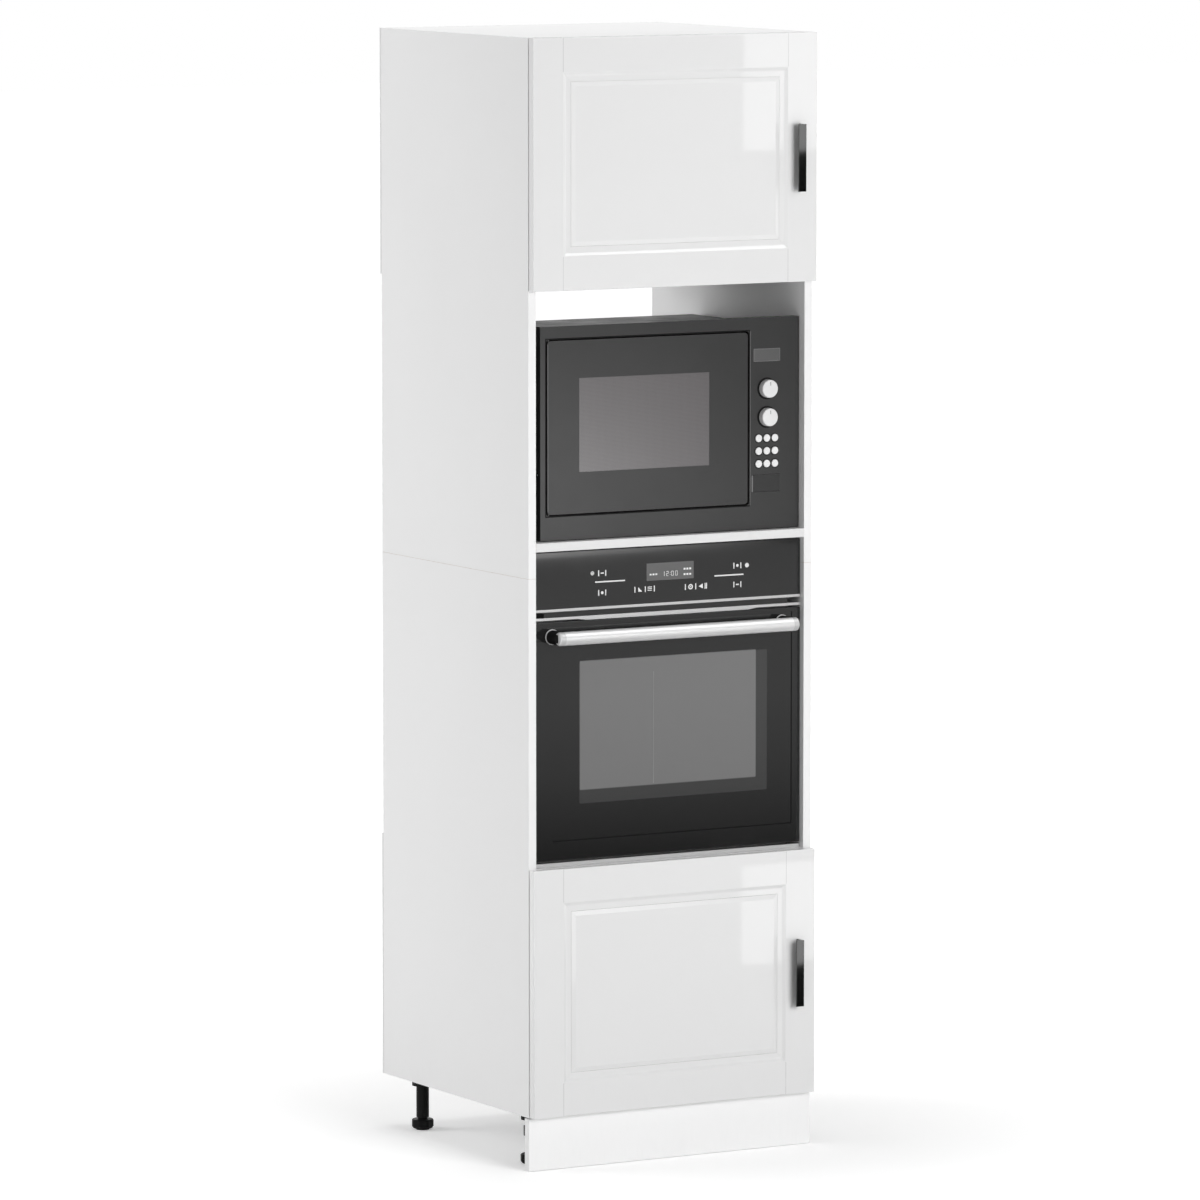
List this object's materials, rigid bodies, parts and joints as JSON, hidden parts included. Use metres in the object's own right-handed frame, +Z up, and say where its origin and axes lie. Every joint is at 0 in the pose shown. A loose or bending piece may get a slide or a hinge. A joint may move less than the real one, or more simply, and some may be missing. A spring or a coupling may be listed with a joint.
{
  "type": "oven cabinet",
  "caption": "Tall white kitchen cabinet on legs, with a cupboard above and below, a built-in oven with a drop-down door and a microwave oven on the shelf above it.",
  "frame": {"origin": "middle of the object's width and depth, on the floor under its legs", "axes": "+Z up, +X to the right seen from the front, +Y from the front to the back"},
  "size_m": [0.6, 0.6035, 2.07],
  "materials": {
    "white_board": "white melamine facing on particle board",
    "white_hardboard": "white faced hardboard",
    "plinth_white": "bright white facing",
    "gloss_white_front": "high-gloss white foil on fibreboard",
    "beech": "bare beech dowel",
    "black_plastic": "black moulded plastic",
    "black_handle": "satin black lacquer",
    "zinc_steel": "nickel-plated steel",
    "oven_sheet": "grey galvanised sheet",
    "oven_enamel": "dark speckled enamel",
    "black_glass": "black-backed glass",
    "steel_trim": "brushed steel",
    "seal_rubber": "silicone seal",
    "chrome_wire": "polished wire",
    "element_steel": "heat-darkened steel tube",
    "fan_steel": "plain aluminium",
    "handle_bar": "brushed aluminium",
    "microwave_sheet": "black powder coat",
    "microwave_enamel": "light grey enamel",
    "microwave_plastic": "dark grey gloss plastic",
    "microwave_window": "tinted glass over a perforated screen",
    "silver_plastic": "silver-white plastic",
    "clear_glass": "clear glass",
    "white_plastic": "white plastic"
  },
  "bodies": {
    "cabinet": {"left_side_lower": "white_board", "left_side_upper": "white_board", "right_side_lower": "white_board", "right_side_upper": "white_board", "top_panel": "white_board", "upper_cupboard_floor": "white_board", "middle_shelf": "white_board", "oven_shelf": "white_board", "bottom_panel": "white_board", "back_panels": "white_hardboard", "plinth_board": "plinth_white", "plinth_clips": "black_plastic", "leg_sockets": "black_plastic", "panel_dowels": "beech", "hinge_arms": "zinc_steel", "oven_casing": "oven_sheet", "oven_cavity": "oven_enamel", "oven_control_panel": "black_glass", "oven_trim": "steel_trim", "oven_door_seal": "seal_rubber", "oven_rack_guides": "chrome_wire", "oven_rack": "chrome_wire", "oven_heating_element": "element_steel", "microwave_casing": "microwave_sheet", "microwave_cavity": "microwave_enamel", "microwave_front_frame": "microwave_plastic"},
    "upper_door": {"upper_door_frame": "gloss_white_front", "upper_door_panel": "gloss_white_front", "upper_door_handle": "black_handle", "upper_hinge_cups": "zinc_steel"},
    "upper_links": {"upper_hinge_links": "zinc_steel"},
    "lower_door": {"lower_door_frame": "gloss_white_front", "lower_door_panel": "gloss_white_front", "lower_door_handle": "black_handle", "lower_hinge_cups": "zinc_steel"},
    "lower_links": {"lower_hinge_links": "zinc_steel"},
    "front_left_leg": {"front_left_foot": "black_plastic"},
    "front_right_leg": {"front_right_foot": "black_plastic"},
    "rear_left_leg": {"rear_left_foot": "black_plastic"},
    "rear_right_leg": {"rear_right_foot": "black_plastic"},
    "oven_fan": {"oven_fan": "fan_steel"},
    "oven_door": {"oven_door_glass": "black_glass", "oven_door_frame": "oven_sheet", "oven_door_handle": "handle_bar"},
    "microwave_door": {"microwave_door_frame": "microwave_plastic", "microwave_door_window": "microwave_window"},
    "release_button": {"microwave_release_button": "microwave_plastic"},
    "power_knob": {"microwave_power_knob": "silver_plastic"},
    "timer_knob": {"microwave_timer_knob": "silver_plastic"},
    "turntable": {"turntable_plate": "clear_glass"},
    "roller_ring": {"turntable_roller_ring": "white_plastic"},
    "key_1": {"microwave_key_1": "silver_plastic"},
    "key_2": {"microwave_key_2": "silver_plastic"},
    "key_3": {"microwave_key_3": "silver_plastic"},
    "key_4": {"microwave_key_4": "silver_plastic"},
    "key_5": {"microwave_key_5": "silver_plastic"},
    "key_6": {"microwave_key_6": "silver_plastic"},
    "key_7": {"microwave_key_7": "silver_plastic"},
    "key_8": {"microwave_key_8": "silver_plastic"},
    "key_9": {"microwave_key_9": "silver_plastic"}
  },
  "joints": [
    {"name": "upper_door_swing", "type": "hinge", "parent": "cabinet", "child": "upper_door", "pos_m": [-0.296, -0.27825, 1.841], "axis": [0, 0, -1], "range_deg": [0, 95]},
    {"name": "upper_links_turn", "type": "hinge", "parent": "upper_door", "child": "upper_links", "pos_m": [-0.2894, -0.26865, 1.841], "axis": [0, 0, 1], "range_deg": [0, 139]},
    {"name": "lower_door_swing", "type": "hinge", "parent": "cabinet", "child": "lower_door", "pos_m": [-0.296, -0.27825, 0.329], "axis": [0, 0, -1], "range_deg": [0, 95]},
    {"name": "lower_links_turn", "type": "hinge", "parent": "lower_door", "child": "lower_links", "pos_m": [-0.2894, -0.26865, 0.329], "axis": [0, 0, 1], "range_deg": [0, 139]},
    {"name": "oven_door_drop", "type": "hinge", "parent": "cabinet", "child": "oven_door", "pos_m": [0, -0.23525, 0.584], "axis": [1, 0, 0], "range_deg": [0, 90], "stiffness_Nm_per_rad": 8, "springref_deg": -22.92},
    {"name": "oven_fan_spin", "type": "hinge", "parent": "cabinet", "child": "oven_fan", "pos_m": [0, 0.17675, 0.799], "axis": [0, 1, 0], "continuous": true},
    {"name": "microwave_door_swing", "type": "hinge", "parent": "cabinet", "child": "microwave_door", "pos_m": [-0.2468, -0.24205, 1.36125], "axis": [0, 0, -1], "range_deg": [0, 100]},
    {"name": "release_button_press", "type": "slide", "parent": "cabinet", "child": "release_button", "axis": [0, 1, 0], "range_m": [0, 0.004], "stiffness_N_per_m": 1500, "springref_m": -0.001},
    {"name": "power_knob_turn", "type": "hinge", "parent": "cabinet", "child": "power_knob", "pos_m": [0.2138, -0.25325, 1.415], "axis": [0, 1, 0], "range_deg": [0, 270]},
    {"name": "timer_knob_turn", "type": "hinge", "parent": "cabinet", "child": "timer_knob", "pos_m": [0.2138, -0.25325, 1.3624], "axis": [0, 1, 0], "range_deg": [0, 300]},
    {"name": "key_1_press", "type": "slide", "parent": "cabinet", "child": "key_1", "axis": [0, 1, 0], "range_m": [0, 0.001], "stiffness_N_per_m": 1500, "springref_m": -0.0005},
    {"name": "key_2_press", "type": "slide", "parent": "cabinet", "child": "key_2", "axis": [0, 1, 0], "range_m": [0, 0.001], "stiffness_N_per_m": 1500, "springref_m": -0.0005},
    {"name": "key_3_press", "type": "slide", "parent": "cabinet", "child": "key_3", "axis": [0, 1, 0], "range_m": [0, 0.001], "stiffness_N_per_m": 1500, "springref_m": -0.0005},
    {"name": "key_4_press", "type": "slide", "parent": "cabinet", "child": "key_4", "axis": [0, 1, 0], "range_m": [0, 0.001], "stiffness_N_per_m": 1500, "springref_m": -0.0005},
    {"name": "key_5_press", "type": "slide", "parent": "cabinet", "child": "key_5", "axis": [0, 1, 0], "range_m": [0, 0.001], "stiffness_N_per_m": 1500, "springref_m": -0.0005},
    {"name": "key_6_press", "type": "slide", "parent": "cabinet", "child": "key_6", "axis": [0, 1, 0], "range_m": [0, 0.001], "stiffness_N_per_m": 1500, "springref_m": -0.0005},
    {"name": "key_7_press", "type": "slide", "parent": "cabinet", "child": "key_7", "axis": [0, 1, 0], "range_m": [0, 0.001], "stiffness_N_per_m": 1500, "springref_m": -0.0005},
    {"name": "key_8_press", "type": "slide", "parent": "cabinet", "child": "key_8", "axis": [0, 1, 0], "range_m": [0, 0.001], "stiffness_N_per_m": 1500, "springref_m": -0.0005},
    {"name": "key_9_press", "type": "slide", "parent": "cabinet", "child": "key_9", "axis": [0, 1, 0], "range_m": [0, 0.001], "stiffness_N_per_m": 1500, "springref_m": -0.0005},
    {"name": "turntable_spin", "type": "hinge", "parent": "cabinet", "child": "turntable", "pos_m": [-0.0425, -0.05325, 1.2477], "axis": [0, 0, 1], "continuous": true},
    {"name": "roller_ring_spin", "type": "hinge", "parent": "cabinet", "child": "roller_ring", "pos_m": [-0.0425, -0.05325, 1.2477], "axis": [0, 0, 1], "continuous": true},
    {"name": "front_left_leg_screw", "type": "hinge", "parent": "cabinet", "child": "front_left_leg", "pos_m": [-0.255, -0.19325, 0], "axis": [0, 0, 1], "continuous": true},
    {"name": "rear_left_leg_screw", "type": "hinge", "parent": "cabinet", "child": "rear_left_leg", "pos_m": [-0.255, 0.22675, 0], "axis": [0, 0, 1], "continuous": true},
    {"name": "front_right_leg_screw", "type": "hinge", "parent": "cabinet", "child": "front_right_leg", "pos_m": [0.255, -0.19325, 0], "axis": [0, 0, 1], "continuous": true},
    {"name": "rear_right_leg_screw", "type": "hinge", "parent": "cabinet", "child": "rear_right_leg", "pos_m": [0.255, 0.22675, 0], "axis": [0, 0, 1], "continuous": true}
  ],
  "couplings": [
    {"joint": "upper_links_turn", "follows": "upper_door_swing", "ratio": 1.4484},
    {"joint": "lower_links_turn", "follows": "lower_door_swing", "ratio": 1.4484},
    {"joint": "roller_ring_spin", "follows": "turntable_spin", "ratio": 0.5}
  ]
}
